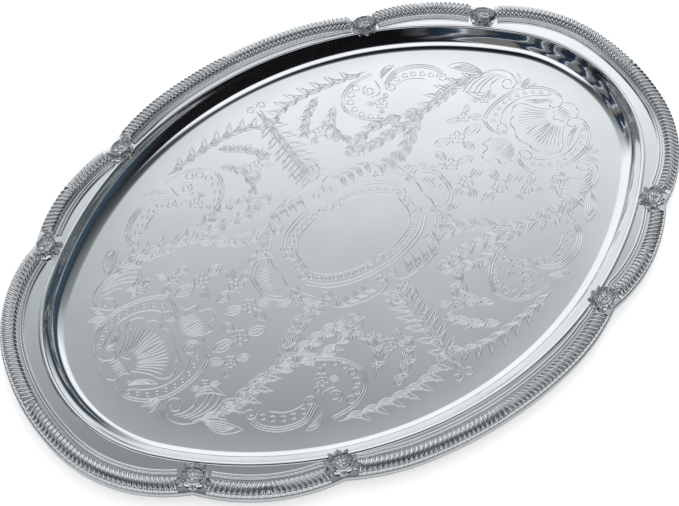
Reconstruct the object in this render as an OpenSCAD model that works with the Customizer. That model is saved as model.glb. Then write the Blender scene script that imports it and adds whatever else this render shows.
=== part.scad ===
// Oval serving tray with an applied gadroon border.
// X runs along the tray, Y across it, Z up. The origin is the middle of the flat underside.

/* [Overall] */
// Length over the turned-down edge
tray_length = 508; // [430:2:600]
// Width over the turned-down edge
tray_width = 352; // [300:2:410]
// Height of the flat flange the border sits on
flange_height = 13.6; // [10:0.2:18]
// Thickness of the sheet
sheet = 1; // [0.7:0.1:1.4]

/* [Well] */
// Floor edge to outer edge, measured at the ends
rim_end = 39.7; // [35:0.1:48]
// Floor edge to outer edge, measured at the sides
rim_side = 33.7; // [32:0.1:42]
// Radius of the floor outline at the ends
floor_end_radius = 89.6; // [70:0.2:100]
// Floor edge to the crest of the bead, in plan
bouge_reach = 14.4; // [12:0.1:16]
// Width of the rounded bead at the top of the bouge
bead_width = 3; // [2:0.1:4]
// Height of the bead above the flange
bead_rise = 0.9; // [0.5:0.1:1.4]

/* [Scalloped outline] */
// Radius of the outline in the middle of an end run
end_middle_radius = 161.6; // [130:0.2:200]
// Half the angle spanned by the middle of an end run
end_middle_angle = 13.5; // [8:0.5:18]
// Radius of the outline in the middle of a side run
side_middle_radius = 296.5; // [240:0.5:360]
// Half the angle spanned by the middle of a side run
side_middle_angle = 11.2; // [7:0.1:14]
// Rise of a short run over its chord
diagonal_rise = 8.8; // [6:0.1:11]

/* [Border] */
// Outer edge to the gadroon, in plan
gadroon_inset = 1; // [0.8:0.1:2]
// Width of the gadroon
gadroon_width = 10.6; // [9:0.1:11]
// Height of the gadroon above the flange
gadroon_rise = 5.2; // [4:0.1:7]
// Channel between the gadroon and the reeds
channel_width = 1.3; // [0.8:0.1:1.8]
// Width of one reed
reed_width = 1.8; // [1.4:0.1:2]
// Height of the reeds above the flange
reed_rise = 1.5; // [1:0.1:2]
// Drop of the turned-down edge below the flange
skirt_drop = 4; // [3:0.1:6]
// Outward flare of the turned-down edge
skirt_flare = 1; // [0.5:0.1:1.5]

/* [Cartouches] */
// Length of a cartouche along the border
cartouche_length = 20; // [16:0.5:24]
// Width of a cartouche across the border
cartouche_width = 13; // [11:0.5:15]
// Depth of the cartouche centre inside the outline joint
cartouche_inset = 9.7; // [8:0.1:11]
// Height of the cartouche ring above the flange
cartouche_rise = 6.2; // [5:0.1:8]

/* [Fits] */
// Gap left between neighbouring border pieces
piece_gap = 0.3; // [0.1:0.1:0.6]
// Gap left over the bead under a cartouche
bead_gap = 0.3; // [0.1:0.1:0.6]

/* [Hidden] */
$fn = 96;
half_length = tray_length / 2;
half_width = tray_width / 2;

// An oval is [end circle x, end radius, side circle y, side radius, angle where they meet].
floor_oval = tangent_oval(half_length - rim_end, half_width - rim_side, floor_end_radius);

// Plan positions of the sheet's features, measured out from the floor edge.
bead_outer = bouge_reach + bead_width / 2;
bead_inner = bouge_reach - bead_width / 2;
flange_under = flange_height - sheet;
bead_top = flange_height + bead_rise;

// Joints of the scalloped outline, as shares of the half length and half width.
joint_end = [0.7543 * half_length, 0.609 * half_width];
joint_side = [0.4256 * half_length, 0.861 * half_width];

// An outline arc is [centre x, centre y, radius, first angle, last angle].
end_x = half_length - end_middle_radius;
side_y = half_width - side_middle_radius;
side_from = 90 - side_middle_angle;
end_shoulder = shoulder([end_x, 0], end_middle_radius, end_middle_angle, joint_end);
side_shoulder = shoulder([0, side_y], side_middle_radius, side_from, joint_side);
end_arcs = [
    [end_x, 0, end_middle_radius, 0, end_middle_angle],
    [end_shoulder[0], end_shoulder[1], end_shoulder[2], end_middle_angle, end_shoulder[3]]
];
side_arcs = [
    [0, side_y, side_middle_radius, side_from, 90],
    [side_shoulder[0], side_shoulder[1], side_shoulder[2], side_shoulder[3], side_from]
];
diagonal_chord = joint_side - joint_end;
diagonal_radius = (pow(norm(diagonal_chord) / 2, 2) + pow(diagonal_rise, 2)) / (2 * diagonal_rise);
diagonal_out = [diagonal_chord[1], -diagonal_chord[0]] / norm(diagonal_chord);
diagonal_centre = (joint_end + joint_side) / 2 + diagonal_out * (diagonal_rise - diagonal_radius);
diagonal_arc = [
    diagonal_centre[0],
    diagonal_centre[1],
    diagonal_radius,
    bearing(diagonal_centre, joint_end),
    bearing(diagonal_centre, joint_side)
];

// Cartouche places: centre and the direction that faces outwards.
end_bisector = (end_arcs[1][4] + diagonal_arc[3]) / 2;
side_bisector = (side_arcs[1][3] + diagonal_arc[4]) / 2;
end_place = joint_end - cartouche_inset * [cos(end_bisector), sin(end_bisector)];
side_place = joint_side - cartouche_inset * [cos(side_bisector), sin(side_bisector)];

// Length of border left out at each joint, so that the runs stop just short of the cartouche.
end_turn = (end_arcs[1][4] - diagonal_arc[3]) / 2;
side_turn = (diagonal_arc[4] - side_arcs[1][3]) / 2;
end_reach = joint_reach(end_turn);
side_reach = joint_reach(side_turn);

// Stations along the outline: [x, y, inset direction x, inset direction y].
end_quarter = concat(
    stations(end_arcs[0], 0, end_middle_angle, 3),
    tail(stations(end_arcs[1], end_middle_angle, end_arcs[1][4], 9))
);
side_quarter = concat(
    stations(side_arcs[1], side_arcs[1][3], side_arcs[1][4], 7),
    tail(stations(side_arcs[0], side_arcs[0][3], 90, 4))
);
outline_quarter = concat(
    head(end_quarter),
    [corner(joint_end, end_bisector, end_turn)],
    head(tail(stations(diagonal_arc, diagonal_arc[3], diagonal_arc[4], 9))),
    [corner(joint_side, side_bisector, side_turn)],
    tail(side_quarter)
);
outline_half = concat(outline_quarter, tail(reversed(mirrored_x(outline_quarter))));
outline = concat(outline_half, tail(head(mirrored_x(mirrored_y(outline_half)))));

// Plan positions of the border, measured in from the outline.
gadroon_inner = gadroon_inset + gadroon_width;
reed_outer = gadroon_inner + channel_width;
reed_inner = reed_outer + 2 * reed_width;
reed_base = 0.5;
cartouche_oval = tangent_oval(cartouche_length / 2, cartouche_width / 2, 0.36 * cartouche_width);
boss_radius = 1.6;
petal_radius = 1.1;
ring_step = 0.45;
ring_land = 1;
gadroon_steps = 7;
reed_steps = 4;

function bearing(from, to) = atan2(to[1] - from[1], to[0] - from[0]);

// Length from a joint to where a run ends, measured at the depth of the cartouche centre.
function joint_reach(turn) =
    norm([cartouche_length / 2 * cos(turn), cartouche_width / 2 * sin(turn)])
    + piece_gap - cartouche_inset * sin(turn);

// Two end circles and two side circles, tangent where they meet.
function tangent_oval(half_long, half_wide, r) =
    let (
        x = half_long - r,
        side = (pow(x, 2) + pow(half_wide, 2) - pow(r, 2)) / (2 * (half_wide - r)),
        y = half_wide - side
    )
    [x, r, y, side, atan2(-y, x)];

// Circle tangent to a given circle at a given angle and passing through a point.
function shoulder(centre, radius, angle, point) =
    let (
        out = [cos(angle), sin(angle)],
        start = centre + radius * out,
        span = point - start,
        r = -(span * span) / (2 * (span * out)),
        c = start - r * out
    )
    [c[0], c[1], r, bearing(c, point)];

// Evenly spaced stations on an arc.
function stations(arc, from, to, count) = [
    for (i = [0:count])
        let (a = from + (to - from) * i / count)
        [arc[0] + arc[2] * cos(a), arc[1] + arc[2] * sin(a), cos(a), sin(a)]
];

// The station at a joint, where two arcs meet at an angle.
function corner(point, facing, turn) =
    [point[0], point[1], cos(facing) / cos(turn), sin(facing) / cos(turn)];

function head(list) = [for (i = [0:len(list) - 2]) list[i]];
function tail(list) = [for (i = [1:len(list) - 1]) list[i]];
function reversed(list) = [for (i = [len(list) - 1:-1:0]) list[i]];
function mirrored_x(list) = [for (p = list) [-p[0], p[1], -p[2], p[3]]];
function mirrored_y(list) = [for (p = list) [p[0], -p[1], p[2], -p[3]]];

// Angle on an outline arc that covers a length, measured at the depth of the cartouche centre.
function arc_angle(arc, length) = length / (arc[2] - cartouche_inset) * 180 / PI;

// Paths of the border runs, stopping short of the joints.
function end_path() =
    let (
        side = end_arcs[1],
        q = concat(
            stations(end_arcs[0], 0, end_middle_angle, 3),
            tail(stations(side, side[3], side[4] - arc_angle(side, end_reach), 9))
        )
    )
    concat(reversed(mirrored_y(tail(q))), q);

function side_path() =
    let (
        side = side_arcs[1],
        q = concat(
            stations(side, side[3] + arc_angle(side, side_reach), side[4], 7),
            tail(stations(side_arcs[0], side_arcs[0][3], 90, 4))
        )
    )
    concat(q, tail(reversed(mirrored_x(q))));

function diagonal_path() =
    let (a = diagonal_arc)
    stations(a, a[3] + arc_angle(a, end_reach), a[4] - arc_angle(a, side_reach), 9);

// Distance in plan from a point to the floor outline.
function off_floor(p) =
    let (
        x = abs(p[0]),
        y = abs(p[1]),
        o = floor_oval
    )
    atan2(y - o[2], x) > o[4]
        ? norm([x, y - o[2]]) - o[3]
        : norm([x - o[0], y]) - o[1];

// The point of the floor outline, moved out by a distance, that is nearest to a station.
function floor_point(p, out) =
    let (
        x = abs(p[0]),
        y = abs(p[1]),
        o = floor_oval,
        on_side = atan2(y - o[2], x) > o[4],
        centre = on_side ? [0, o[2]] : [o[0], 0],
        radius = (on_side ? o[3] : o[1]) + out,
        v = [x, y] - centre,
        q = centre + radius * v / norm(v)
    )
    [p[0] < 0 ? -q[0] : q[0], p[1] < 0 ? -q[1] : q[1]];

// Sweep a section along stations. Section points are [inset, height], upwards and inwards first.
// Where the border is narrow the section moves out, to stay clear of the foot of the bead.
module swept(path, section) {
    n = len(section);
    m = len(path);
    inner = max([for (q = section) q[0]]);
    points = [
        for (p = path)
            let (
                room = off_floor(p) - bead_outer - piece_gap,
                shift = max(bead_gap - channel_width, min(0, room - inner))
            )
            for (q = section)
                let (inset = q[0] + shift)
                [p[0] - inset * p[2], p[1] - inset * p[3], q[1]]
    ];
    walls = [
        for (i = [0:m - 2])
            for (j = [0:n - 1])
                let (
                    a = i * n + j,
                    b = i * n + (j + 1) % n,
                    c = a + n,
                    d = b + n
                )
                for (face = [[a, c, b], [b, c, d]])
                    face
    ];
    near_end = [for (j = [0:n - 1]) j];
    far_end = [for (j = [n - 1:-1:0]) (m - 1) * n + j];
    polyhedron(points = points, faces = concat(walls, [near_end, far_end]), convexity = 6);
}

// An oval, moved out by a distance.
module oval(shape, out) {
    meet_x = shape[0] + (shape[1] + out) * cos(shape[4]);
    union() {
        intersection() {
            translate([0, shape[2]])
                circle(shape[3] + out);
            translate([0, -shape[2]])
                circle(shape[3] + out);
            square([2 * meet_x, 2 * (shape[3] + out + shape[2]) + 2], center = true);
        }
        translate([shape[0], 0])
            circle(shape[1] + out);
        translate([-shape[0], 0])
            circle(shape[1] + out);
    }
}

module oval_block(shape, out, from, to) {
    translate([0, 0, from])
        linear_extrude(to - from)
            oval(shape, out);
}

// The sheet's section, from the floor out over the upper face and back along the lower face.
// A row is [follows the outline, out from the floor edge or in from the outline, height].
function sheet_rows() =
    let (
        rise = flange_under,
        foot = flange_height - skirt_drop
    )
    [
        [false, 0, sheet],
        [false, 2.2, sheet + 0.3],
        [false, 5.8, 0.2 * rise + sheet],
        [false, 9.5, 0.54 * rise + sheet],
        [false, bead_inner - 0.3, flange_height - 0.5],
        [false, bouge_reach - 0.25 * bead_width, bead_top - 0.2],
        [false, bouge_reach, bead_top],
        [false, bouge_reach + 0.25 * bead_width, bead_top - 0.2],
        [false, bead_outer, flange_height],
        [true, gadroon_inset, flange_height],
        [true, 0.6 * gadroon_inset, flange_height - 0.3],
        [true, 0, foot],
        [true, sheet + 0.1, foot],
        [true, gadroon_inset + skirt_flare + 0.3, flange_under],
        [false, bead_outer, flange_under],
        [false, bouge_reach, flange_under + bead_rise - 0.2],
        [false, bead_inner + 0.2, flange_under - 0.6],
        [false, 10.2, 0.52 * rise],
        [false, 6.4, 0.2 * rise],
        [false, 2.4, 0.3],
        [false, 0.4, 0]
    ];

module pan() {
    rows = sheet_rows();
    n = len(outline);
    points = [
        for (row = rows)
            for (p = outline)
                let (q = row[0] ? [p[0], p[1]] - row[1] * [p[2], p[3]] : floor_point(p, row[1]))
                [q[0], q[1], row[2]]
    ];
    walls = [
        for (i = [0:len(rows) - 2])
            for (j = [0:n - 1])
                let (
                    a = i * n + j,
                    b = i * n + (j + 1) % n,
                    c = a + n,
                    d = b + n
                )
                for (face = [[a, b, c], [b, d, c]])
                    face
    ];
    top = [for (j = [n - 1:-1:0]) j];
    bottom = [for (j = [0:n - 1]) (len(rows) - 1) * n + j];
    color("silver")
        polyhedron(points = points, faces = concat(walls, [top, bottom]), convexity = 6);
}

// Half-round section of the gadroon, flat below.
function gadroon_section() = [
    for (i = [0:gadroon_steps])
        let (a = 180 * i / gadroon_steps)
        [
            gadroon_inset + gadroon_width / 2 * (1 - cos(a)),
            flange_height + gadroon_rise * pow(sin(a), 0.8)
        ]
];

// Two half-round reeds side by side on a thin strip.
function reed_section() = [
    [reed_outer, flange_height],
    for (reed = [0, 1])
        for (i = [reed:reed_steps])
            let (a = 180 * i / reed_steps)
            [
                reed_outer + (reed + 0.5 - 0.5 * cos(a)) * reed_width,
                flange_height + reed_base + (reed_rise - reed_base) * sin(a)
            ],
    [reed_inner, flange_height]
];

module gadroon_end() {
    color("gainsboro")
        swept(end_path(), gadroon_section());
}

module gadroon_side() {
    color("gainsboro")
        swept(side_path(), gadroon_section());
}

module gadroon_diagonal() {
    color("gainsboro")
        swept(diagonal_path(), gadroon_section());
}

module reed_end() {
    color("white")
        swept(end_path(), reed_section());
}

module reed_side() {
    color("white")
        swept(side_path(), reed_section());
}

module reed_diagonal() {
    color("white")
        swept(diagonal_path(), reed_section());
}

// A small cast ornament: an oval plate, a stepped ring and a six-petalled flower.
// Local x faces out across the border and local y runs along it.
module ornament() {
    plate_top = 0.6 * cartouche_rise;
    step_top = 0.85 * cartouche_rise;
    rotate([0, 0, 90]) {
        oval_block(cartouche_oval, 0, 0, plate_top);
        difference() {
            union() {
                oval_block(cartouche_oval, -ring_step, plate_top - 0.5, step_top);
                oval_block(cartouche_oval, -2 * ring_step, plate_top - 0.5, cartouche_rise);
            }
            oval_block(cartouche_oval, -2 * ring_step - ring_land, plate_top, 2 * cartouche_rise);
        }
    }
    translate([0, 0, plate_top - 0.4])
        sphere(boss_radius, $fn = 32);
    for (i = [0:5])
        rotate([0, 0, 60 * i])
            translate([boss_radius + 0.3, 0, plate_top - 0.3])
                sphere(petal_radius, $fn = 24);
}

// The ornament stands on the flange, coped over the bead where the two meet.
module placed_ornament(place, facing) {
    color("lightgray")
        difference() {
            translate([place[0], place[1], flange_height])
                rotate([0, 0, facing])
                    ornament();
            oval_block(floor_oval, bead_outer + bead_gap, 0, bead_top + bead_gap);
        }
}

module cartouche_end() {
    placed_ornament(end_place, end_bisector);
}

module cartouche_side() {
    placed_ornament(side_place, side_bisector);
}

module gadroon_end_left() {
    mirror([1, 0, 0])
        gadroon_end();
}

module gadroon_end_right() {
    gadroon_end();
}

module gadroon_side_front() {
    mirror([0, 1, 0])
        gadroon_side();
}

module gadroon_side_back() {
    gadroon_side();
}

module gadroon_diag_front_left() {
    mirror([1, 0, 0])
        mirror([0, 1, 0])
            gadroon_diagonal();
}

module gadroon_diag_front_right() {
    mirror([0, 1, 0])
        gadroon_diagonal();
}

module gadroon_diag_back_left() {
    mirror([1, 0, 0])
        gadroon_diagonal();
}

module gadroon_diag_back_right() {
    gadroon_diagonal();
}

module reed_end_left() {
    mirror([1, 0, 0])
        reed_end();
}

module reed_end_right() {
    reed_end();
}

module reed_side_front() {
    mirror([0, 1, 0])
        reed_side();
}

module reed_side_back() {
    reed_side();
}

module reed_diag_front_left() {
    mirror([1, 0, 0])
        mirror([0, 1, 0])
            reed_diagonal();
}

module reed_diag_front_right() {
    mirror([0, 1, 0])
        reed_diagonal();
}

module reed_diag_back_left() {
    mirror([1, 0, 0])
        reed_diagonal();
}

module reed_diag_back_right() {
    reed_diagonal();
}

module cartouche_end_front_left() {
    mirror([1, 0, 0])
        mirror([0, 1, 0])
            cartouche_end();
}

module cartouche_end_front_right() {
    mirror([0, 1, 0])
        cartouche_end();
}

module cartouche_end_back_left() {
    mirror([1, 0, 0])
        cartouche_end();
}

module cartouche_end_back_right() {
    cartouche_end();
}

module cartouche_side_front_left() {
    mirror([1, 0, 0])
        mirror([0, 1, 0])
            cartouche_side();
}

module cartouche_side_front_right() {
    mirror([0, 1, 0])
        cartouche_side();
}

module cartouche_side_back_left() {
    mirror([1, 0, 0])
        cartouche_side();
}

module cartouche_side_back_right() {
    cartouche_side();
}

pan();
gadroon_end_left();
gadroon_end_right();
gadroon_side_front();
gadroon_side_back();
gadroon_diag_front_left();
gadroon_diag_front_right();
gadroon_diag_back_left();
gadroon_diag_back_right();
reed_end_left();
reed_end_right();
reed_side_front();
reed_side_back();
reed_diag_front_left();
reed_diag_front_right();
reed_diag_back_left();
reed_diag_back_right();
cartouche_end_front_left();
cartouche_end_front_right();
cartouche_end_back_left();
cartouche_end_back_right();
cartouche_side_front_left();
cartouche_side_front_right();
cartouche_side_back_left();
cartouche_side_back_right();
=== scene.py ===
import math

import bmesh
import bpy
import numpy as np
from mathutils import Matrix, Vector


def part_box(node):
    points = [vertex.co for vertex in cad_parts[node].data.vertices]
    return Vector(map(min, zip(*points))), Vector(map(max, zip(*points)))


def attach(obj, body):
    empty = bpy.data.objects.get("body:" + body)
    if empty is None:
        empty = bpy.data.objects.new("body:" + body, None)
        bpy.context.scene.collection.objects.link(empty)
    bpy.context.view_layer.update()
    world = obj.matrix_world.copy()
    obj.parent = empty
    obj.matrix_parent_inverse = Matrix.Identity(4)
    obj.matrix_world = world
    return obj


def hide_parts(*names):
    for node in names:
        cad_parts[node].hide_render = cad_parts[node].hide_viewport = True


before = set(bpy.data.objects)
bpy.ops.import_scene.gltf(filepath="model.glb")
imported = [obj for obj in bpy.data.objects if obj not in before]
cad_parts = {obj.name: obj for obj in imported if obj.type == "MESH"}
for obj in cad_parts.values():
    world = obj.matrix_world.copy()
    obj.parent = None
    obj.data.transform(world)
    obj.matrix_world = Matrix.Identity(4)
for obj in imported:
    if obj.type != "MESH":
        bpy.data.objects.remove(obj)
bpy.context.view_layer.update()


# ---------------------------------------------------------------------------------------------
# Pan. One sheet of steel, pressed into a flat oval floor, a rounded wall, a raised bead, a level
# flange and a short turned-down skirt with a scalloped outline, then polished and chromed. Its
# floor stands on the table.
MM = 0.001
pan_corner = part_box("pan")[1]
HALF_LENGTH = pan_corner[0] / MM
HALF_WIDTH = pan_corner[1] / MM
SHEET = 1.0
FLANGE = 13.6
BEAD_REACH = 14.4
BEAD_WIDTH = 3.0
BEAD_RISE = 0.9
SKIRT_DROP = 4.0
SKIRT_FOOT = FLANGE - SKIRT_DROP
RIM_END = 39.7
RIM_SIDE = 33.7
END_RADIUS = 161.6
END_TURN = 13.5
SIDE_RADIUS = 296.5
SIDE_TURN = 78.8
DIAGONAL_RISE = 8.8
JOINT_END = np.array([0.7543 * HALF_LENGTH, 0.609 * HALF_WIDTH])
JOINT_SIDE = np.array([0.4256 * HALF_LENGTH, 0.861 * HALF_WIDTH])


def bearing(centre, point):
    """Angle in degrees at which a point is seen from a centre."""
    return math.degrees(math.atan2(point[1] - centre[1], point[0] - centre[0]))


def shoulder(centre, radius, angle, point):
    """Arc that leaves a circle at an angle, tangent to it, and passes through a point."""
    out = np.array([math.cos(math.radians(angle)), math.sin(math.radians(angle))])
    span = point - (centre + radius * out)
    r = -(span @ span) / (2 * (span @ out))
    c = centre + (radius - r) * out
    return c, r, bearing(c, point)


def arc(centre, radius, start, end, step=1.5):
    """Rows of x, y and outward direction: centre + radius * (cos a, sin a), a step in mm apart."""
    count = max(2, int(abs(math.radians(end - start)) * radius / step) + 1)
    a = np.radians(np.linspace(start, end, count))
    out = np.stack([np.cos(a), np.sin(a)], 1)
    return np.hstack([np.asarray(centre) + radius * out, out])


def flipped(rows, x=1, y=1):
    """The same stations mirrored in x or y, with their directions."""
    return rows[::-1] * np.array([x, y, x, y])


END_MIDDLE = np.array([HALF_LENGTH - END_RADIUS, 0.0])
SIDE_MIDDLE = np.array([0.0, HALF_WIDTH - SIDE_RADIUS])
END_SHOULDER = shoulder(END_MIDDLE, END_RADIUS, END_TURN, JOINT_END)
SIDE_SHOULDER = shoulder(SIDE_MIDDLE, SIDE_RADIUS, SIDE_TURN, JOINT_SIDE)
chord = JOINT_SIDE - JOINT_END
chord_length = np.linalg.norm(chord)
DIAGONAL_RADIUS = ((chord_length / 2) ** 2 + DIAGONAL_RISE**2) / (2 * DIAGONAL_RISE)
chord_out = np.array([chord[1], -chord[0]]) / chord_length
DIAGONAL_CENTRE = (JOINT_END + JOINT_SIDE) / 2 + chord_out * (DIAGONAL_RISE - DIAGONAL_RADIUS)
DIAGONAL_FROM = bearing(DIAGONAL_CENTRE, JOINT_END)
DIAGONAL_TO = bearing(DIAGONAL_CENTRE, JOINT_SIDE)

end_quarter = np.vstack(
    [
        arc(END_MIDDLE, END_RADIUS, 0, END_TURN),
        arc(END_SHOULDER[0], END_SHOULDER[1], END_TURN, END_SHOULDER[2])[1:],
    ]
)
side_quarter = np.vstack(
    [
        arc(SIDE_SHOULDER[0], SIDE_SHOULDER[1], SIDE_SHOULDER[2], SIDE_TURN)[:-1],
        arc(SIDE_MIDDLE, SIDE_RADIUS, SIDE_TURN, 90),
    ]
)
diagonal = arc(DIAGONAL_CENTRE, DIAGONAL_RADIUS, DIAGONAL_FROM, DIAGONAL_TO)


def mitre(point, before, after):
    """Station at a joint between two arcs, with its inset direction lengthened to the mitre."""
    middle, half = math.radians((before + after) / 2), math.radians((before - after) / 2)
    return np.array([[*point, math.cos(middle) / math.cos(half), math.sin(middle) / math.cos(half)]])


quarter = np.vstack(
    [
        end_quarter[:-1],
        mitre(JOINT_END, END_SHOULDER[2], DIAGONAL_FROM),
        diagonal[1:-1],
        mitre(JOINT_SIDE, DIAGONAL_TO, SIDE_SHOULDER[2]),
        side_quarter[1:],
    ]
)
half_loop = np.vstack([quarter, flipped(quarter, x=-1)[1:]])
outline = np.vstack([half_loop, flipped(half_loop, y=-1)[1:-1]])

FLOOR_END_RADIUS = 89.6
FLOOR_END_X = HALF_LENGTH - RIM_END - FLOOR_END_RADIUS
floor_half_width = HALF_WIDTH - RIM_SIDE
FLOOR_SIDE_RADIUS = (FLOOR_END_X**2 + floor_half_width**2 - FLOOR_END_RADIUS**2) / (
    2 * (floor_half_width - FLOOR_END_RADIUS)
)
FLOOR_SIDE_Y = floor_half_width - FLOOR_SIDE_RADIUS
FLOOR_MEET = math.degrees(math.atan2(-FLOOR_SIDE_Y, FLOOR_END_X))


def floor_edge(rows):
    """Nearest point of the floor oval to each station, and the oval's outward direction there."""
    xy = np.abs(rows[:, :2])
    on_side = np.degrees(np.arctan2(xy[:, 1] - FLOOR_SIDE_Y, xy[:, 0])) > FLOOR_MEET
    centre = np.where(on_side[:, None], [[0, FLOOR_SIDE_Y]], [[FLOOR_END_X, 0]])
    radius = np.where(on_side, FLOOR_SIDE_RADIUS, FLOOR_END_RADIUS)[:, None]
    out = xy - centre
    out /= np.linalg.norm(out, axis=1)[:, None]
    sign = np.where(rows[:, :2] < 0, -1, 1)
    return (centre + radius * out) * sign, out * sign


def smooth(points, step=0.8, closed=False):
    """Curve through the points: a Catmull-Rom cubic between each two, sampled about a step apart."""
    p = np.asarray(points, float)
    if closed:
        p = np.vstack([p[-1], p, p[0], p[1]])
    else:
        p = np.vstack([2 * p[0] - p[1], p, 2 * p[-1] - p[-2]])
    pieces = []
    for a, b, c, d in zip(p, p[1:], p[2:], p[3:]):
        t = np.arange(0, 1, 1 / max(1, round(np.linalg.norm(c - b) / step)))[:, None]
        cubic = 2 * b + (c - a) * t + (2 * a - 5 * b + 4 * c - d) * t**2 + (3 * b - a - 3 * c + d) * t**3
        pieces.append(cubic / 2)
    return np.vstack([*pieces, p[-2:-1]])


def ring_faces(rows, columns):
    """Quads between neighbouring points of a grid whose rows are closed loops."""
    i = np.arange(rows - 1)[:, None]
    j = np.arange(columns)[None, :]
    after = (j + 1) % columns
    corners = [i * columns + j, (i + 1) * columns + j, (i + 1) * columns + after, i * columns + after]
    return np.stack([np.broadcast_to(c, (i.size, j.size)) for c in corners], -1).reshape(-1, 4)


SHARP_EDGE = math.radians(50)


def new_piece(name, points, faces, material):
    """Smooth-shaded mesh in mm with doubles merged and normals outward, in metres, on the tray."""
    mesh = bpy.data.meshes.new(name)
    faces = faces if isinstance(faces, list) else faces.tolist()
    mesh.from_pydata(np.asarray(points).reshape(-1, 3) * MM, [], faces)
    work = bmesh.new()
    work.from_mesh(mesh)
    bmesh.ops.remove_doubles(work, verts=work.verts, dist=0.00001)
    bmesh.ops.dissolve_degenerate(work, edges=work.edges, dist=0.000005)
    bmesh.ops.recalc_face_normals(work, faces=work.faces)
    work.to_mesh(mesh)
    work.free()
    mesh.shade_smooth()
    mesh.set_sharp_from_angle(angle=SHARP_EDGE)
    mesh.materials.append(material)
    piece = bpy.data.objects.new(name, mesh)
    bpy.context.collection.objects.link(piece)
    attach(piece, "root")
    return piece


def plate_group():
    """Surface of used chrome plate: cloudy tarnish, which also bends the surface, and scratches.

    The tarnish is plain noise. The scratches are noise stretched along one way and kept only
    where it is brightest.
    """
    group = bpy.data.node_groups.new("chrome plate", "ShaderNodeTree")
    sockets = group.interface
    for name, kind, value in (
        ("Tone", "NodeSocketColor", (0.8, 0.81, 0.82, 1)),
        ("Roughness", "NodeSocketFloat", 0.06),
        ("Cloud Scale", "NodeSocketFloat", 30.0),
        ("Scratches", "NodeSocketFloat", 0.3),
    ):
        sockets.new_socket(name, in_out="INPUT", socket_type=kind).default_value = value
    for name, kind in (
        ("Color", "NodeSocketColor"),
        ("Roughness", "NodeSocketFloat"),
        ("Height", "NodeSocketFloat"),
    ):
        sockets.new_socket(name, in_out="OUTPUT", socket_type=kind)
    nodes, link = group.nodes, group.links.new
    given = nodes.new("NodeGroupInput")
    result = nodes.new("NodeGroupOutput")
    place = nodes.new("ShaderNodeTexCoord")
    cloud = nodes.new("ShaderNodeTexNoise")
    cloud.inputs["Detail"].default_value = 5
    link(place.outputs["Object"], cloud.inputs["Vector"])
    link(given.outputs["Cloud Scale"], cloud.inputs["Scale"])
    stretch = nodes.new("ShaderNodeMapping")
    stretch.inputs["Rotation"].default_value = (0, 0, 0.5)
    stretch.inputs["Scale"].default_value = (60, 2600, 60)
    link(place.outputs["Object"], stretch.inputs["Vector"])
    scratch = nodes.new("ShaderNodeTexNoise")
    scratch.inputs["Scale"].default_value = 1
    link(stretch.outputs["Vector"], scratch.inputs["Vector"])
    bright = nodes.new("ShaderNodeMapRange")
    bright.inputs["From Min"].default_value = 0.62
    bright.inputs["From Max"].default_value = 0.8
    link(scratch.outputs["Fac"], bright.inputs["Value"])
    kept = nodes.new("ShaderNodeMath")
    kept.operation = "MULTIPLY"
    link(bright.outputs["Result"], kept.inputs[0])
    link(given.outputs["Scratches"], kept.inputs[1])
    tarnish = nodes.new("ShaderNodeMapRange")
    tarnish.inputs["From Min"].default_value = 0.3
    tarnish.inputs["From Max"].default_value = 0.75
    tarnish.inputs["To Min"].default_value = 1.0
    tarnish.inputs["To Max"].default_value = 0.93
    link(cloud.outputs["Fac"], tarnish.inputs["Value"])
    tone = nodes.new("ShaderNodeVectorMath")
    tone.operation = "SCALE"
    link(given.outputs["Tone"], tone.inputs[0])
    link(tarnish.outputs["Result"], tone.inputs["Scale"])
    rough_cloud = nodes.new("ShaderNodeMath")
    rough_cloud.operation = "MULTIPLY_ADD"
    rough_cloud.inputs[1].default_value = 0.04
    link(cloud.outputs["Fac"], rough_cloud.inputs[0])
    link(given.outputs["Roughness"], rough_cloud.inputs[2])
    rough = nodes.new("ShaderNodeMath")
    rough.operation = "MULTIPLY_ADD"
    rough.inputs[1].default_value = 0.12
    link(kept.outputs["Value"], rough.inputs[0])
    link(rough_cloud.outputs["Value"], rough.inputs[2])
    height = nodes.new("ShaderNodeMath")
    height.operation = "SUBTRACT"
    link(cloud.outputs["Fac"], height.inputs[0])
    link(kept.outputs["Value"], height.inputs[1])
    link(tone.outputs["Vector"], result.inputs["Color"])
    link(rough.outputs["Value"], result.inputs["Roughness"])
    link(height.outputs["Value"], result.inputs["Height"])
    return group


PLATE = plate_group()


def chrome(name, tone, roughness, cloud_scale, scratches, bump):
    """Chrome-plated metal: a metallic shader fed by the plate surface group."""
    material = bpy.data.materials.new(name)
    material.use_nodes = True
    nodes, link = material.node_tree.nodes, material.node_tree.links.new
    shader = nodes["Principled BSDF"]
    shader.inputs["Metallic"].default_value = 1
    plate = nodes.new("ShaderNodeGroup")
    plate.node_tree = PLATE
    plate.inputs["Tone"].default_value = (*tone, 1)
    plate.inputs["Roughness"].default_value = roughness
    plate.inputs["Cloud Scale"].default_value = cloud_scale
    plate.inputs["Scratches"].default_value = scratches
    surface = nodes.new("ShaderNodeBump")
    surface.inputs["Strength"].default_value = bump
    surface.inputs["Distance"].default_value = 0.0001
    link(plate.outputs["Color"], shader.inputs["Base Color"])
    link(plate.outputs["Roughness"], shader.inputs["Roughness"])
    link(plate.outputs["Height"], surface.inputs["Height"])
    link(surface.outputs["Normal"], shader.inputs["Normal"])
    return material


pan_chrome = chrome("pan chrome", (0.80, 0.81, 0.82), 0.05, 22, 0.25, 0.12)


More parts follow.
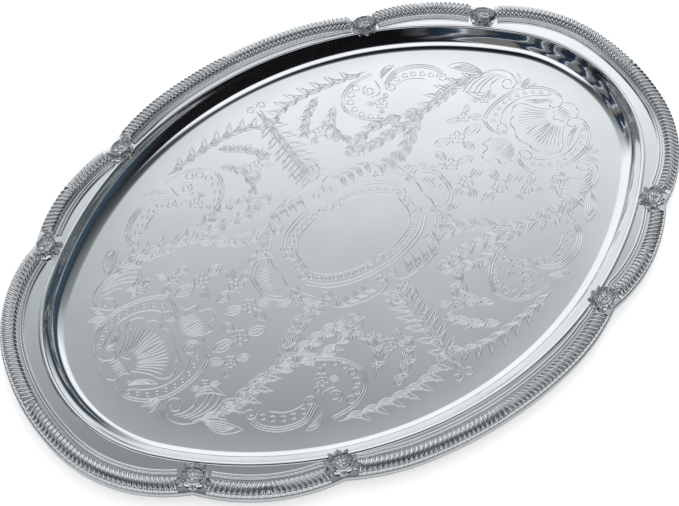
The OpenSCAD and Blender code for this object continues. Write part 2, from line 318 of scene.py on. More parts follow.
def pan_profile():
    """Rows of share of the floor, reach from its edge, inset from the outline, blend and height.

    The upper face runs from the middle of the floor to the skirt, and the lower face runs back.
    """
    wall = smooth([[0, 1], [2.2, 1.3], [5.8, 3.5], [9.5, 7.8], [12.6, 13.1]], 0.5)
    turn = np.linspace(math.radians(150), 0, 9)
    bead = np.stack([BEAD_REACH + BEAD_WIDTH / 2 * np.cos(turn), FLANGE + BEAD_RISE * np.sin(turn)], 1)
    under_wall = smooth([[13.1, 12.0], [10.2, 6.6], [6.4, 2.5], [2.4, 0.3], [0.4, 0]], 0.8)
    edge = BEAD_REACH + BEAD_WIDTH / 2
    rows = [(share, 0, 0, 0, SHEET) for share in (0, 0.35, 0.7, 0.9)]
    rows += [(1, reach, 0, 0, z) for reach, z in np.vstack([wall, bead])]
    rows += [(1, edge, 1.2, blend, FLANGE) for blend in (0.15, 0.5, 0.85, 1)]
    rows += [(1, edge, inset, 1, FLANGE + z) for inset, z in ((0.8, -0.05), (0.5, -0.25), (0.25, -0.8))]
    rows += [(1, edge, 0.1, 1, FLANGE - 2.2), (1, edge, 0, 1, SKIRT_FOOT + 0.3)]
    rows += [(1, edge, 0.3, 1, SKIRT_FOOT)]
    rows += [(1, edge, 1.1, 1, SKIRT_FOOT), (1, edge, 1.5, 1, FLANGE - 2), (1, edge, 2.4, 1, FLANGE - SHEET)]
    rows += [(1, edge, 2.4, 0, FLANGE - SHEET), (1, BEAD_REACH, 0, 0, FLANGE - SHEET + 0.7)]
    rows += [(1, reach, 0, 0, z) for reach, z in under_wall]
    rows += [(share, 0, 0, 0, 0) for share in (0.9, 0.5, 0)]
    return np.array(rows)


def pan_points():
    """Each profile row carried round the tray, between the floor's edge and the outline."""
    share, reach, inset, blend, z = (c[:, None, None] for c in pan_profile().T)
    edge, out = floor_edge(outline)
    inner = share * (edge[None] + reach * out[None])
    outer = outline[None, :, :2] - inset * outline[None, :, 2:]
    plan = inner + (outer - inner) * blend
    return np.concatenate([plan, np.broadcast_to(z, plan.shape[:2] + (1,))], -1)


points = pan_points()
pan = new_piece("pan_sheet", points, ring_faces(*points.shape[:2]), pan_chrome)
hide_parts("pan")


# ---------------------------------------------------------------------------------------------
# Engraving. Scrolls, acanthus leaves, flowers and a shell at each end round a plain medallion,
# rolled into the floor as fine raised lines. One quarter is drawn in mm from the middle of the
# tray and mirrored to the other three.
LINE_HALF_WIDTH = 0.42
LINE_HEIGHT = 0.24
lines = {"frames": [], "scrolls": [], "leaves": [], "flowers": []}


def draw(kind, points, step=0.8, closed=False):
    """Adds a smooth line through the points."""
    lines[kind].append(smooth(points, step, closed))


def beside(points, distance):
    """A line moved sideways by a distance, to the left of its way."""
    p = smooth(points)
    way = np.gradient(p, axis=0)
    way /= np.linalg.norm(way, axis=1)[:, None]
    return (p + distance * np.stack([-way[:, 1], way[:, 0]], 1))[::3]


def spiral(kind, centre, radius, start, turns, inner=0.25):
    """A curl whose radius falls evenly from its mouth to its eye."""
    a = np.radians(np.linspace(start, start + 360 * turns, int(18 * abs(turns)) + 6))
    r = radius * np.linspace(1, inner, len(a))
    draw(kind, np.array(centre) + np.stack([r * np.cos(a), r * np.sin(a)], 1))


def rings(kind, path, count, radius, last=None):
    """Small rings spaced evenly along a path, shrinking to the last radius."""
    p = smooth(path)
    for at in np.linspace(0, len(p) - 1, count):
        r = radius + ((last or radius) - radius) * at / len(p)
        a = np.radians(np.arange(0, 360, 45))
        draw(kind, p[int(at)] + r * np.stack([np.cos(a), np.sin(a)], 1), 0.7, closed=True)


def rib_fan(kind, starts, ends, count, bow=0.0):
    """Ribs from one path to another, bowed more the further they are from the middle rib."""
    a, b = smooth(starts), smooth(ends)
    for t in np.linspace(0, 1, count):
        p, q = a[int(t * (len(a) - 1))], b[int(t * (len(b) - 1))]
        side = np.array([p[1] - q[1], q[0] - p[0]]) * bow * (2 * t - 1)
        draw(kind, [p, (p + q) / 2 + side, q], 1.4)


def leaf(kind, base, tip, width, bend=0.0, veins=1):
    """A pointed leaf: two bowed sides and its veins; bend moves the middle sideways."""
    base, tip = np.array(base, float), np.array(tip, float)
    run = tip - base
    side = np.array([-run[1], run[0]]) / np.linalg.norm(run)
    shift = bend * np.linalg.norm(run)
    for share in np.linspace(-1, 1, veins + 2):
        reach = 1.0 if abs(share) == 1 else 0.8
        bow = [(0.25, 0.4, 1.0), (0.55, 0.5, 1.2), (0.8 * reach, 0.3, 0.7), (reach, 0.0, 0.0)]
        mid = [base + t * run + side * (w * width * share + s * shift) for t, w, s in bow]
        draw(kind, [base + side * 0.12 * width * share, *mid], 1.9)


def plume(spine, count, length, width, lean, sides=(1, -1), veins=1):
    """A stem with pointed leaves on its sides, leaning forward and shrinking towards its tip."""
    p = smooth(spine)
    draw("scrolls", spine, 1.2)
    for side in sides:
        for t in np.linspace(0.06, 0.93, count):
            place = int(t * (len(p) - 1))
            at = p[place]
            way = p[min(place + 3, len(p) - 1)] - p[max(place - 3, 0)]
            a = math.atan2(way[1], way[0]) + side * math.radians(lean)
            size = length * (0.6 + 0.5 * math.sin(math.pi * (0.15 + 0.75 * t)))
            tip = at + size * np.array([math.cos(a), math.sin(a)])
            leaf("leaves", at, tip, width, -0.2 * side, veins)


def flower(centre, radius, leaf_tips):
    """A ring of five petals round a small eye, with a veined leaf to each tip."""
    a = np.radians(np.arange(0, 360, 12))
    r = radius * (0.66 + 0.34 * np.abs(np.cos(2.5 * a + 0.6)))
    draw("flowers", np.array(centre) + np.stack([r * np.cos(a), r * np.sin(a)], 1), 0.7, closed=True)
    rings("flowers", [centre, centre + np.array([0.1, 0.1])], 1, radius * 0.27)
    for turn in np.radians(np.arange(5) * 72 + 20):
        way = np.array([math.cos(turn), math.sin(turn)])
        draw("flowers", [centre + 0.4 * radius * way, centre + 0.78 * radius * way])
    for tip in leaf_tips:
        way = (np.array(tip) - centre) / np.linalg.norm(np.array(tip) - centre)
        leaf("flowers", centre + radius * way, tip, 0.36 * np.linalg.norm(np.array(tip) - centre), 0, 2)


# The C-shaped frame at each end, with its beaded band and the shell inside it.
frame_line = [
    (133, 25), (135, 29), (140, 32.5), (150, 36), (160, 37.5), (170, 37.5), (180, 34.5), (188, 29.5),
    (194, 22.5), (196, 15), (194, 10), (190, 7), (186, 7), (183.5, 10), (185, 13.5), (188.5, 13.5),
]
draw("frames", frame_line)
draw("frames", beside(frame_line[1:10], -1.8))
frame_inner = [(143, 18.5), (146, 22.5), (152, 26.5), (160, 28.8), (170, 28.6), (180, 24.7), (189, 18.5)]
draw("frames", frame_inner)
rings("frames", [(140.5, 23.5), (150, 30), (160, 32.6), (170, 32), (181, 28.3), (190.5, 19.8)], 10, 1.3)
curl = [(134, 27), (132.8, 21), (134, 14), (138, 10), (142.5, 10.5), (145, 14.5), (143, 18), (139.5, 18)]
draw("frames", [*curl, (138, 15.2), (140, 13.6)])
draw("frames", beside(curl[:5], 1.6))
shell_edge = [(182, 8), (177, 12), (172, 17.5), (169, 22.5), (164, 25.4), (159, 24.6), (155.5, 21.8)]
draw("scrolls", shell_edge)
draw("scrolls", [(155.5, 18.6), (151, 17), (148.6, 13), (148.5, 8.5), (146, 4), (145.2, 0)])
shell_foot = [(174, 0.6), (175, 4), (178.5, 8)]
rib_fan("scrolls", shell_foot, [(152.5, 0.6), (154, 8), (157, 15), (165.5, 21)], 9, 0.05)
rib_fan("scrolls", [(191.5, 0.8), (191, 5)], [(184, 0.8), (184, 4.2)], 3)
draw("scrolls", [(199, 0), (197.5, 4.5), (193, 8)])
draw("scrolls", [(177.5, 0), (181.5, 3.6), (183, 7)])
leaf("leaves", (188, 15.5), (171.5, 25.5), 3.2, 0.08, 2)

# The curl, hatching and leaves outside the frame.
outer_curl = [(164, 63), (170, 60.5), (175, 56.5), (178, 50), (175.5, 43), (170, 39.6), (165.6, 42.5)]
draw("scrolls", [*outer_curl, (166.2, 47), (170.5, 49.2), (173.6, 46), (171.5, 43)])
for row in (
    [(174, 50.5), (167, 52.6), (159, 51.6), (156, 48.5)],
    [(172, 53.2), (164, 55.6), (154, 54), (145, 49.6)],
    [(170, 55.8), (161, 57.6), (151, 56), (143, 52)],
    [(167, 58.4), (158, 60), (149, 59.4), (141, 56)],
    [(166, 61), (156, 62.4), (147, 61.8), (137, 57.6)],
):
    draw("leaves", row)
for tip in ((188.5, 33.5), (188, 40), (182.5, 49)):
    leaf("leaves", (176.5, 37 + (tip[1] - 40) * 0.3), tip, 3.2, 0, 1)
leaf("leaves", (160, 64.5), (141.5, 84), 8, -0.06, 4)
leaf("leaves", (156, 47), (139, 57), 5, 0.2, 1)

# The main stem, from the frame towards the middle, feathered with acanthus on both sides.
main_stem = [(165, 62), (155, 65), (145, 67), (135, 67.6), (125, 66.6), (115, 64), (105, 61), (97, 58)]
plume(main_stem, 7, 19, 4.4, 17, (-1,), 2)
plume([(150, 67.5), (138, 69.5), (126, 69), (116, 66.6)], 4, 19, 4.4, -22, (-1,), 2)
plume([(97, 58), (89, 52), (80, 45.5), (70, 39.5), (57, 36.5)], 5, 19, 4.6, 14, (1, -1), 2)
plume([(99, 59.5), (88, 57.5), (76, 56.5), (62, 55), (50, 56)], 5, 17, 4.2, 13, (1, -1), 2)
lower_stem = [(104, 62.4), (92, 63), (80, 65.4), (70, 67.2), (58, 66), (47, 64.5), (38.5, 60.5)]
plume(lower_stem, 5, 15, 3.8, 14, (1, -1), 2)
spiral("scrolls", (39, 56), 6.5, -60, 1.35)

# Flowers and the small palmette between the frame and the medallion.
flower(np.array([146, 43]), 3.6, [(137, 47.5), (156, 41.5)])
flower(np.array([123.5, 38]), 4.4, [(136.5, 29.5), (110, 41.5), (133, 46)])
flower(np.array([108.7, 25.7]), 5.6, [(130, 25), (90, 29.5), (113, 10)])
flower(np.array([91, 9]), 5.3, [(88, 25), (76.5, 14.5), (108.5, 5)])
flower(np.array([62, 23.2]), 3.8, [(52.5, 31.5), (56.5, 13.5), (76, 18.5)])
flower(np.array([80, 82]), 4.8, [(89, 88), (70, 88), (75, 74)])
flower(np.array([27.8, 85.6]), 4.8, [(38, 92), (18, 92), (33, 74), (16, 79)])
rib_fan("flowers", [(139.5, 0.6), (138.5, 4), (136, 8)], [(124, 0.6), (124.5, 4.6), (128, 11.5)], 6, 0.05)
draw("flowers", [(131, 15.5), (128, 11.6), (121.5, 11), (121.5, 6), (115.5, 4), (113, 0)])

# The medallion: a plain oval in a beaded band with curls, and a crescent of acanthus beside it.
draw("frames", [(43, 0), (42.5, 7), (38, 14.5), (30, 20), (20, 23.5), (10, 25.2), (0, 25.8)])
rings("frames", [(44.5, 13.5), (38.8, 18.4), (32.7, 22), (26.7, 24.4), (20, 26.6), (9, 28.2)], 8, 1.4)
draw("frames", [(48.5, 14.5), (40, 23), (30, 28), (20, 31), (10, 32.4), (0, 32.8)])
draw("frames", [(51, 16), (40, 26), (30, 30.8), (20, 33.6), (10, 34.9), (0, 35.2)])
spiral("frames", (48, 9.5), 3.8, 200, -1.3)
spiral("frames", (3.6, 25.6), 3.2, 200, -1.2)
spiral("frames", (47.5, 2), 3.2, 60, 1.1)
draw("scrolls", [(60, 1), (61, 10), (56.5, 20), (50, 28)])
draw("scrolls", [(80, 0), (79.5, 7), (75.5, 13.5), (69.5, 18.2), (64, 17.8), (61.5, 15), (63, 12)])
draw("scrolls", [(78, 0), (77.4, 6), (73.5, 12), (68.5, 15.6)])
rib_fan("leaves", [(76, 0.5), (74, 7), (70, 11)], [(68, 0.5), (67, 5), (64.5, 9)], 5, 0.1)

# Beaded C-scrolls along the sides, each between two curls.
draw("frames", [(47, 30), (45, 39), (40, 44.5), (30, 48), (19, 50), (9, 49.5), (3.5, 46.5), (1.5, 42)])
spiral("frames", (43, 31), 4.2, 200, -1.4)
spiral("frames", (4.8, 40), 3.4, 180, -1.2)
for base_x in (36, 29, 22, 15):
    leaf("leaves", (base_x - 2, 47), (base_x + 2, 35.5), 4, 0.2, 2)
side_scroll = [(136, 81), (133, 89), (126, 96), (118.5, 100), (110.5, 102), (102.5, 101.6), (92, 96)]
draw("frames", side_scroll)
for offset in (1.6, 3.2):
    draw("frames", beside(side_scroll, offset))
rings("frames", [(126.4, 83.5), (121.8, 88), (115.8, 91.8), (109.7, 94), (102.5, 94.6)], 5, 1.9)
draw("frames", [(121, 82.5), (114, 88), (107, 90.4), (99, 90.6)])
spiral("frames", (132, 77), 4.5, 150, -1.4)
spiral("frames", (95, 91), 4.5, 90, 1.4)
leaf("leaves", (93, 102), (109, 107), 4, 0.1, 2)
round_scroll = [
    (90, 110), (76.5, 110.4), (68.5, 109.2), (60.5, 105), (55.5, 99), (53.5, 92.5), (55, 86), (59, 79),
    (65, 73.2), (74, 67.6), (84, 64.4),
]
draw("frames", round_scroll)
draw("frames", beside(round_scroll, 1.7))
rings("frames", [(72, 104.6), (65, 101), (61, 95), (60.4, 87), (63.6, 80), (68.5, 75), (79, 69)], 8, 2.7, 1.5)
draw("frames", [(88, 103.5), (87.5, 96), (84.8, 91.4), (80.8, 90.3), (76, 91.4)])
spiral("frames", (79, 97), 5, 80, 1.4)

# The top band and the central feather on the short axis.
top_stem = [(88, 113), (74, 116.5), (60, 119), (46, 120.5), (32, 121), (18, 119), (6, 114)]
plume(top_stem, 8, 19, 4.6, 22, (-1,), 2)
plume([(44, 114), (34, 108), (26, 101), (20, 94)], 4, 14, 4, 20, (1, -1), 2)
plume([(50, 100), (42, 92), (38, 82), (40, 72)], 4, 13, 4, 20, (1, -1), 2)
plume([(1.5, 128), (1.5, 112), (1.5, 96), (1.5, 80), (1.5, 66)], 7, 26, 5, 26, (1,), 2)
spiral("scrolls", (4.5, 130), 3.6, 180, -1.2)
draw("scrolls", [(4, 72), (9, 66), (9.5, 60), (6.5, 54.5), (2, 52.4), (0, 55)])
draw("scrolls", [(3, 68), (5.4, 62), (4.4, 57.6), (1.5, 56.4)])


def raised_lines(curves):
    """Each line as a low rounded ridge: a half-cosine across it, tapering to both ends and let
    into the floor, with its ends and underside closed."""
    across = np.array([-1, -0.5, 0, 0.5, 1])
    crown = np.array([-0.02, 0.72, 1, 0.72, -0.02])
    points, faces, first = [], [], 0
    for curve in curves:
        way = np.gradient(curve, axis=0)
        way /= np.maximum(np.linalg.norm(way, axis=1), 1e-9)[:, None]
        side = np.stack([-way[:, 1], way[:, 0]], 1)
        end = np.minimum(np.arange(len(curve)), np.arange(len(curve))[::-1])
        taper = np.clip(0.35 + end / 3, 0, 1)[:, None]
        plan = curve[:, None] + (across * taper)[..., None] * side[:, None] * LINE_HALF_WIDTH
        z = SHEET + LINE_HEIGHT * crown * taper
        points.append(np.concatenate([plan, z[..., None]], -1).reshape(-1, 3))
        faces += [[v + first for v in face] for face in capped_faces(len(curve), 5)]
        first += 5 * len(curve)
    return np.vstack(points), faces


def capped_faces(rows, columns):
    """Faces of a tube whose section is a closed loop, with both ends filled."""
    sides = ring_faces(rows, columns).tolist()
    return sides + [list(range(columns)), list(range((rows - 1) * columns, rows * columns))[::-1]]


engraved_chrome = chrome("engraved chrome", (0.84, 0.85, 0.86), 0.1, 60, 0.1, 0.1)
for kind, curves in lines.items():
    everywhere = [curve * np.array([x, y]) for curve in curves for x in (1, -1) for y in (1, -1)]
    engraving = new_piece(f"engraving_{kind}", *raised_lines(everywhere), engraved_chrome)


# ---------------------------------------------------------------------------------------------
# Gadroon border. Eight cast strips of leaning convex flutes with a lipped outer edge, one along
# each end, each side and each corner of the outline. They are soldered down on the flange and
# chromed with the pan. The flutes lean away from the middle of each strip.
CARTOUCHE_LENGTH = 20.0
CARTOUCHE_WIDTH = 13.0
CARTOUCHE_INSET = 9.7
PIECE_GAP = 0.3
GADROON_INSET = 1.0
GADROON_WIDTH = 10.6
GADROON_RISE = 5.2
FLUTE_PITCH = 3.4
STATION_STEP = 0.34
FLUTE_LEAN = 4.2
FLUTE_DEPTH = 0.52
LEAN_GROWTH = 5.0
END_TAPER = 2.5
LIP_RISE = 0.35

gadroon_chrome = chrome("gadroon chrome", (0.78, 0.79, 0.80), 0.07, 60, 0.1, 0.2)


def reach(before, after):
    """Length of border left free on each side of a joint for its cartouche."""
    turn = math.radians(abs(before - after) / 2)
    room = math.hypot(CARTOUCHE_LENGTH / 2 * math.cos(turn), CARTOUCHE_WIDTH / 2 * math.sin(turn))
    return room + PIECE_GAP - CARTOUCHE_INSET * math.sin(turn)


def clipped(centre, radius, start, end, cut_start=0.0, cut_end=0.0):
    """Arc stations, about ten to a flute, with a length left out at each end."""
    turn = math.degrees(1 / (radius - CARTOUCHE_INSET))
    return arc(centre, radius, start + cut_start * turn, end - cut_end * turn, STATION_STEP)


END_REACH = reach(END_SHOULDER[2], DIAGONAL_FROM)
SIDE_REACH = reach(DIAGONAL_TO, SIDE_SHOULDER[2])
end_half = np.vstack(
    [
        clipped(END_MIDDLE, END_RADIUS, 0, END_TURN),
        clipped(END_SHOULDER[0], END_SHOULDER[1], END_TURN, END_SHOULDER[2], cut_end=END_REACH)[1:],
    ]
)
side_half = np.vstack(
    [
        clipped(SIDE_SHOULDER[0], SIDE_SHOULDER[1], SIDE_SHOULDER[2], SIDE_TURN, cut_start=SIDE_REACH)[:-1],
        clipped(SIDE_MIDDLE, SIDE_RADIUS, SIDE_TURN, 90),
    ]
)
end_run = np.vstack([flipped(end_half, y=-1)[:-1], end_half])
side_run = np.vstack([side_half, flipped(side_half, x=-1)[1:]])
diagonal_run = clipped(
    DIAGONAL_CENTRE, DIAGONAL_RADIUS, DIAGONAL_FROM, DIAGONAL_TO, END_REACH, SIDE_REACH
)
RUNS = {
    "end_right": end_run,
    "end_left": flipped(end_run, x=-1),
    "side_back": side_run,
    "side_front": flipped(side_run, y=-1),
    "diag_back_right": diagonal_run,
    "diag_back_left": flipped(diagonal_run, x=-1),
    "diag_front_right": flipped(diagonal_run, y=-1),
    "diag_front_left": flipped(flipped(diagonal_run, x=-1), y=-1),
}


def carried(run, inset, z):
    """Points inset from a run's stations; inset and z are one value for each station and column."""
    plan = run[:, None, :2] - inset[..., None] * run[:, None, 2:]
    return np.concatenate([plan, np.broadcast_to(z, inset.shape)[..., None]], -1)


def gadroon_points(run):
    """Half-round section carried along the run, swelling over each flute by a power of |sin| of
    the length along the run. The length shifts across the section by the lean, and the power keeps
    the grooves narrow. The rise sinks at both ends, and a lip and scallops follow the outer edge.
    """
    along = np.concatenate([[0], np.cumsum(np.linalg.norm(np.diff(run[:, :2], axis=0), axis=1))])
    span = along[-1]
    from_middle = along - span / 2
    lean = FLUTE_LEAN * np.tanh(from_middle / LEAN_GROWTH)
    flutes = round(span / FLUTE_PITCH)
    turn = np.linspace(0, math.pi, 21)
    across = (1 - np.cos(turn)) / 2
    phase = (along[:, None] / span * flutes) + lean[:, None] * (across - 0.5) / FLUTE_PITCH
    lobe = np.abs(np.sin(math.pi * phase)) ** 0.7
    taper = np.clip((span / 2 - np.abs(from_middle)) / END_TAPER, 0, 1)[:, None] ** 0.5
    bow = np.sin(turn) ** 0.75
    rise = GADROON_RISE * bow * (1 - FLUTE_DEPTH * (1 - lobe)) * (0.55 + 0.45 * taper)
    rise += LIP_RISE * np.exp(-(((across - 0.12) / 0.05) ** 2))
    scallop = LIP_RISE * (1 - lobe) * (across < 0.3) * (1 - across)
    inset = GADROON_INSET + GADROON_WIDTH * across + scallop
    return carried(run, inset, FLANGE + np.clip(rise, 0, GADROON_RISE))


for place, run in RUNS.items():
    points = gadroon_points(run)
    strip = new_piece(
        f"gadroon_strip_{place}", points, capped_faces(*points.shape[:2]), gadroon_chrome
    )
    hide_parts(f"gadroon_{place}")


# ---------------------------------------------------------------------------------------------
# Reed mouldings. Eight drawn strips of two fine half-round reeds, laid beside the gadroons with
# a narrow channel between, and soldered down on the flange.
REED_OUTER = 12.9
REED_WIDTH = 1.8
REED_RISE = 1.5
REED_FOOT = 0.35

reed_chrome = chrome("reed chrome", (0.80, 0.81, 0.82), 0.05, 60, 0.1, 0.1)


def reed_points(run):
    """Two half-rounds side by side on a thin foot, moved out where the flange is narrow."""
    turn = np.linspace(0, math.pi, 9)
    across = REED_WIDTH / 2 * (1 - np.cos(turn))
    up = REED_FOOT + (REED_RISE - REED_FOOT) * np.sin(turn)
    inset = np.concatenate([[0], across, REED_WIDTH + across[1:], [2 * REED_WIDTH]]) + REED_OUTER
    z = np.concatenate([[0], up, up[1:], [0]]) + FLANGE
    edge, out = floor_edge(run)
    room = np.sum((run[:, :2] - edge) * out, axis=1) - BEAD_REACH - BEAD_WIDTH / 2 - PIECE_GAP
    shift = np.clip(room - inset.max(), -1.0, 0)[:, None]
    return carried(run, inset + shift, z)


for place, run in RUNS.items():
    ends_on_last = len(run) % 3 == 1
    points = reed_points(run[::3] if ends_on_last else np.vstack([run[::3], run[-1:]]))
    strip = new_piece(f"reed_strip_{place}", points, capped_faces(*points.shape[:2]), reed_chrome)
    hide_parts(f"reed_{place}")


# ---------------------------------------------------------------------------------------------
# Cartouches. Eight small cast ornaments that cover the joints of the border: an oval scrolled
# frame round a five-petalled flower, with a leaf at each side, one at the lip and a spray of three
# that points to the bead. They are soldered down on the flange.
CARTOUCHE_RISE = 6.2
FRAME_FIT = 0.97
PETAL_REACH = 2.9
BOSS_RADIUS = 1.1
CURL_PLACE = 4.9
CURL_RADIUS = 1.5

cartouche_chrome = chrome("cartouche chrome", (0.78, 0.79, 0.80), 0.06, 80, 0.1, 0.2)


def place_between(joint, before, after):
    """Centre of a cartouche and the direction in degrees in which it faces."""
    facing = (before + after) / 2
    out = np.array([math.cos(math.radians(facing)), math.sin(math.radians(facing))])
    return joint - CARTOUCHE_INSET * out, facing


def cartouche_relief():
    """Heights over an oval disc. The two rings are bell curves of the share of the way out, with a
    rope pattern round the outer one. The petals are a dome whose reach follows a cosine of the
    angle, and the rim is scalloped by two cosines of the angle."""
    share = np.linspace(0, 1, 46)[:, None]
    angle = np.linspace(0, 2 * math.pi, 145)[None, :-1]
    scallop = 1 + 0.035 * np.cos(12 * angle) - 0.02 * np.cos(2 * angle)
    x = share * scallop * CARTOUCHE_LENGTH / 2 * np.cos(angle) * FRAME_FIT
    y = share * scallop * CARTOUCHE_WIDTH / 2 * np.sin(angle) * FRAME_FIT
    ring = np.exp(-(((share - 0.84) / 0.075) ** 2)) + 0.75 * np.exp(-(((share - 0.64) / 0.05) ** 2))
    petal_angle = np.arctan2(y, 0.8 * x)
    from_middle = np.hypot(x * 0.8, y)
    petal_reach = PETAL_REACH * (0.62 + 0.38 * np.abs(np.cos(2.5 * petal_angle)))
    petals = np.clip(1 - (from_middle / petal_reach) ** 2, 0, 1) ** 0.5
    boss = np.clip(1 - (from_middle / BOSS_RADIUS) ** 2, 0, 1) ** 0.5
    from_curl = np.hypot(np.abs(x) - CURL_PLACE, y)
    curls = np.exp(-((from_curl - CURL_RADIUS) ** 2) / 0.18) + np.exp(-(from_curl**2) / 0.3)
    rope = 0.16 * np.cos(36 * angle) * np.exp(-(((share - 0.84) / 0.1) ** 2))
    z = 3.0 + 2.6 * ring + 1.5 * petals + 0.9 * boss + 1.3 * np.clip(curls, 0, 1)
    edge_fall = 1 - 0.85 * np.clip((share - 0.93) / 0.07, 0, 1) ** 2
    z = np.minimum((z + rope) * edge_fall, CARTOUCHE_RISE)
    return np.stack([x, y, np.broadcast_to(z, x.shape)], -1)


def leaf_relief(base, tip, width, lobes):
    """A leaf from base to tip: a crown across its width, cut into lobes by a cosine along it."""
    along = np.linspace(0, 1, 37)[:, None]
    across = np.linspace(-1, 1, 17)[None, :]
    base, tip = np.array(base, float), np.array(tip, float)
    run = tip - base
    side = np.array([-run[1], run[0]]) / np.linalg.norm(run)
    half = width / 2 * np.sin(math.pi * np.clip(along * 0.88 + 0.10, 0, 1)) ** 0.7
    half = half * (0.86 + 0.14 * np.abs(np.cos(math.pi * lobes * along)))
    plan = base + along[..., None] * run + (across * half)[..., None] * side
    crown = (1 - across**2) ** 0.5
    vein = 0.22 * np.cos(2 * math.pi * (lobes * along + 1.2 * np.abs(across)))
    z = (3.6 - 1.6 * along) * crown * (1 + vein) - 0.5 * np.exp(-((across / 0.12) ** 2)) * crown
    return np.concatenate([plan, np.maximum(z, 0)[..., None]], -1)


def turned(points, centre, facing, x=1, y=1):
    """Local points, with +y facing out of the tray, set down on the flange and mirrored."""
    a = math.radians(facing - 90)
    plan = points[..., :2] @ np.array([[math.cos(a), math.sin(a)], [-math.sin(a), math.cos(a)]])
    plan = (plan + centre) * [x, y]
    return np.concatenate([plan, points[..., 2:] + FLANGE], -1)


def joined(parts):
    """Several closed point-and-face sets as one, with the later faces renumbered."""
    starts = np.cumsum([0] + [len(p) for p, _ in parts[:-1]])
    faces = [[[v + s for v in face] for face in f] for (_, f), s in zip(parts, starts)]
    return np.vstack([p for p, _ in parts]), sum(faces, [])


def cartouche_parts():
    """Disc and leaves, each with its underside closed by its own rim."""
    disc = cartouche_relief()
    rim = disc[-1:] * [1, 1, 0]
    disc = np.concatenate([disc, rim])
    faces = ring_faces(*disc.shape[:2]).tolist()
    count = disc.shape[1]
    faces.append([(disc.shape[0] - 1) * count + k for k in range(count)])
    parts = [(disc.reshape(-1, 3), faces)]
    leaves = [((-8.2, 2.6), (-8.8, 6.2), 4.0, 3), ((8.2, 2.6), (8.8, 6.2), 4.0, 3)]
    leaves += [((0, -5.2), (0, -9.6), 6.4, 3), ((-3.5, -5.0), (-6.4, -8.4), 3.6, 2)]
    leaves += [((3.5, -5.0), (6.4, -8.4), 3.6, 2), ((0, 4.6), (0, 8.2), 5.6, 3)]
    for shape in leaves:
        top = leaf_relief(*shape)
        under = top * [1, 1, 0]
        block = np.concatenate([top, under[:, ::-1]], 1)
        parts.append((block.reshape(-1, 3), capped_faces(*block.shape[:2])))
    return parts


places = {
    "end": place_between(JOINT_END, END_SHOULDER[2], DIAGONAL_FROM),
    "side": place_between(JOINT_SIDE, DIAGONAL_TO, SIDE_SHOULDER[2]),
}
cartouche_points, cartouche_faces = joined(cartouche_parts())
for joint, (centre, facing) in places.items():
    for depth, y in (("front", -1), ("back", 1)):
        for hand, x in (("left", -1), ("right", 1)):
            ornament = new_piece(
                f"cartouche_relief_{joint}_{depth}_{hand}",
                turned(cartouche_points, centre, facing, x, y),
                cartouche_faces,
                cartouche_chrome,
            )
            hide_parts(f"cartouche_{joint}_{depth}_{hand}")


# ---------------------------------------------------------------------------------------------
# Studio. A pale table, a white backdrop, and a plain room that the chrome mirrors: bright beyond
# the tray, grey overhead and dark behind the camera, with a dim blue wall and a few windows.
LOOK_X, LOOK_Y = 0.553, 0.833


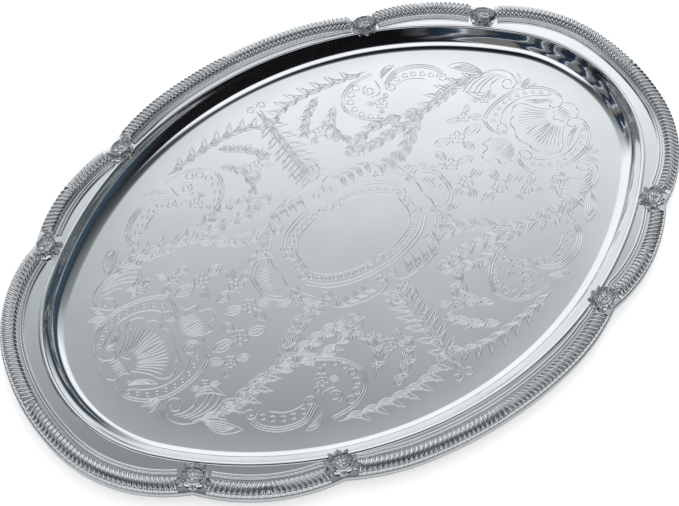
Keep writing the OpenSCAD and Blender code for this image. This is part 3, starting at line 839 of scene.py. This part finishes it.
def studio_world():
    """World colour by direction: a brightness ramp along LOOK, the level way from the camera to the
    tray, with a dim wall low on the right, window bands to the left and a bright panel high behind
    the camera. The camera itself sees white, and matt surfaces are lit by an even pale grey."""
    world = bpy.data.worlds.new("studio")
    bpy.context.scene.world = world
    world.use_nodes = True
    nodes, link = world.node_tree.nodes, world.node_tree.links.new
    nodes.clear()

    def calc(kind, a, b=None, c=None):
        """Output of a Math node fed by numbers or by other nodes."""
        node = nodes.new("ShaderNodeMath")
        node.operation = kind
        for slot_index, value in enumerate((a, b, c)):
            if isinstance(value, (int, float)):
                node.inputs[slot_index].default_value = value
            elif value is not None:
                link(value, node.inputs[slot_index])
        return node.outputs[0]

    def ramp(value, stops):
        """Colour read off stops of place and colour by a value from 0 to 1."""
        node = nodes.new("ShaderNodeValToRGB")
        elements = node.color_ramp.elements
        while len(elements) < len(stops):
            elements.new(0.5)
        for element, (at, color) in zip(elements, stops):
            element.position = at
            element.color = (*color, 1)
        link(value, node.inputs[0])
        return node.outputs[0]

    def mix(fac, a, b):
        """Colour a where the factor is 0 and b where it is 1."""
        node = nodes.new("ShaderNodeMix")
        node.data_type = "RGBA"
        link(fac, node.inputs["Factor"])
        for name, value in (("A", a), ("B", b)):
            plug = [s for s in node.inputs if s.name == name and s.type == "RGBA"][0]
            if isinstance(value, tuple):
                plug.default_value = (*value, 1)
            else:
                link(value, plug)
        return [s for s in node.outputs if s.type == "RGBA"][0]

    place = nodes.new("ShaderNodeTexCoord")
    axes = nodes.new("ShaderNodeSeparateXYZ")
    link(place.outputs["Generated"], axes.inputs[0])
    x, y, z = axes.outputs
    away = calc("MULTIPLY_ADD", x, LOOK_X, calc("MULTIPLY", y, LOOK_Y))
    overhead = ramp(
        calc("MULTIPLY_ADD", away, 0.5, 0.5),
        [
            (0.0, (0.004, 0.004, 0.005)),
            (0.40, (0.01, 0.01, 0.012)),
            (0.56, (0.09, 0.1, 0.105)),
            (0.68, (0.30, 0.33, 0.33)),
            (0.75, (0.62, 0.66, 0.67)),
            (0.81, (1.12, 1.15, 1.17)),
            (1.0, (1.2, 1.2, 1.2)),
        ],
    )
    wall = ramp(
        calc("MULTIPLY_ADD", z, 0.5, 0.5),
        [(0.45, (0.03, 0.05, 0.08)), (0.56, (0.05, 0.085, 0.12)), (0.68, (0.03, 0.04, 0.05))],
    )
    to_right = ramp(x, [(0.55, (0, 0, 0)), (0.75, (1, 1, 1))])
    is_low = ramp(z, [(0.30, (1, 1, 1)), (0.45, (0, 0, 0))])
    room = mix(calc("MULTIPLY", to_right, is_low), overhead, wall)
    wave = nodes.new("ShaderNodeTexNoise")
    wave.inputs["Scale"].default_value = 2.2
    wave.inputs["Detail"].default_value = 3
    link(place.outputs["Generated"], wave.inputs["Vector"])
    bands = calc("FRACT", calc("MULTIPLY_ADD", y, 5.0, calc("MULTIPLY", wave.outputs["Fac"], 3.0)))
    window = ramp(
        bands,
        [
            (0.0, (0.02, 0.035, 0.06)),
            (0.30, (0.03, 0.05, 0.09)),
            (0.36, (0.9, 0.95, 1.0)),
            (0.45, (0.16, 0.18, 0.2)),
            (0.75, (0.22, 0.2, 0.18)),
            (0.85, (0.02, 0.03, 0.05)),
        ],
    )
    to_left = ramp(calc("MULTIPLY", x, -1), [(0.35, (0, 0, 0)), (0.5, (1, 1, 1))])
    mid_height = ramp(z, [(0.05, (0, 0, 0)), (0.15, (1, 1, 1)), (0.65, (1, 1, 1)), (0.8, (0, 0, 0))])
    room = mix(calc("MULTIPLY", to_left, mid_height), room, window)
    is_high = ramp(z, [(0.60, (0, 0, 0)), (0.66, (1, 1, 1)), (0.86, (1, 1, 1)), (0.92, (0, 0, 0))])
    is_near = ramp(calc("MULTIPLY_ADD", away, -0.5, 0.5), [(0.52, (0, 0, 0)), (0.6, (1, 1, 1))])
    room = mix(calc("MULTIPLY", is_high, is_near), room, (1.2, 1.22, 1.25))
    path = nodes.new("ShaderNodeLightPath")
    seen = mix(path.outputs["Is Glossy Ray"], (0.85, 0.87, 0.88), room)
    seen = mix(path.outputs["Is Camera Ray"], seen, (1.0, 1.0, 1.0))
    background = nodes.new("ShaderNodeBackground")
    link(seen, background.inputs["Color"])
    result = nodes.new("ShaderNodeOutputWorld")
    link(background.outputs[0], result.inputs["Surface"])


studio_world()


def table_top():
    """A pale round table top, which the camera sees as white except in the tray's shadow."""
    material = bpy.data.materials.new("pale table")
    material.use_nodes = True
    nodes, link = material.node_tree.nodes, material.node_tree.links.new
    shader = nodes["Principled BSDF"]
    shader.inputs["Base Color"].default_value = (0.8, 0.8, 0.8, 1)
    shader.inputs["Roughness"].default_value = 0.9
    shader.inputs["Specular IOR Level"].default_value = 0.1
    path = nodes.new("ShaderNodeLightPath")
    glow = nodes.new("ShaderNodeMapRange")
    glow.inputs["To Min"].default_value = 0
    glow.inputs["To Max"].default_value = 0.45
    link(path.outputs["Is Camera Ray"], glow.inputs["Value"])
    shader.inputs["Emission Color"].default_value = (1, 1, 1, 1)
    link(glow.outputs["Result"], shader.inputs["Emission Strength"])
    angle = np.linspace(0, 2 * math.pi, 129)[:-1]
    radius = np.array([0.0, 1.0, 6.0])[:, None]
    grid = np.stack([radius * np.cos(angle), radius * np.sin(angle), 0 * radius * angle], -1)
    mesh = bpy.data.meshes.new("table")
    mesh.from_pydata(grid.reshape(-1, 3), [], ring_faces(3, 128).tolist())
    mesh.materials.append(material)
    table = bpy.data.objects.new("table", mesh)
    bpy.context.collection.objects.link(table)


table_top()


def soft_box(name, at, size, power):
    """A square area lamp facing the middle of the tray, kept out of reflections."""
    lamp = bpy.data.lights.new(name, "AREA")
    lamp.size = size
    lamp.energy = power
    box = bpy.data.objects.new(name, lamp)
    box.location = at
    box.rotation_euler = (-Vector(at)).to_track_quat("-Z", "Y").to_euler()
    box.visible_glossy = False
    bpy.context.collection.objects.link(box)


soft_box("key", (0.9, 1.0, 1.8), 1.4, 14)

camera_data = bpy.data.cameras.new("camera")
camera_data.lens = 67.33
camera_data.sensor_width = 36
camera = bpy.data.objects.new("camera", camera_data)
camera.location = (-0.2645, -0.3810, 0.7608)
aim = Vector((-0.0175, -0.0084, 0.001)) - camera.location
camera.rotation_euler = aim.to_track_quat("-Z", "Y").to_euler()
bpy.context.collection.objects.link(camera)
bpy.context.scene.camera = camera
bpy.context.scene.view_settings.view_transform = "Standard"
